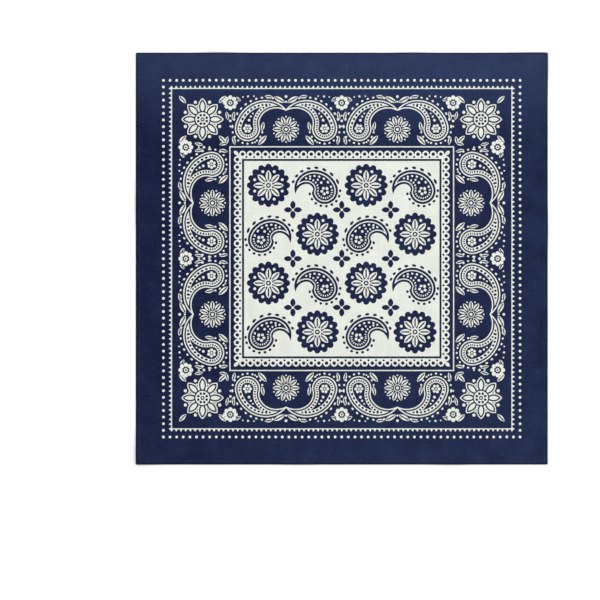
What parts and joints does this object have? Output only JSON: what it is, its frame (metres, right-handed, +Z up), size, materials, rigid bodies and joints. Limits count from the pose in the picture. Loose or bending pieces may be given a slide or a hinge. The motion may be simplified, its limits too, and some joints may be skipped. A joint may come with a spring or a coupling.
{
  "type": "bandana",
  "caption": "Square printed cotton bandana laid flat and face up, with narrow hems turned under on every side; worn on the head or neck.",
  "frame": {"origin": "middle of the square, on the surface that it lies on", "axes": "+X to the right and +Y to the far side of the square as it lies face up, +Z up off the surface"},
  "size_m": [0.559, 0.559, 0.0048],
  "materials": {
    "printed_cotton": "plain-weave cotton, navy with an off-white print, matt",
    "hem_cotton": "navy plain-weave cotton, the face side of the plain margin turned under, matt",
    "sewing_thread": "navy spun sewing thread, slight sheen"
  },
  "bodies": {
    "root": {"cloth_face": "printed_cotton", "hem_near": "hem_cotton", "hem_right": "hem_cotton", "hem_far": "hem_cotton", "hem_left": "hem_cotton"}
  },
  "joints": []
}
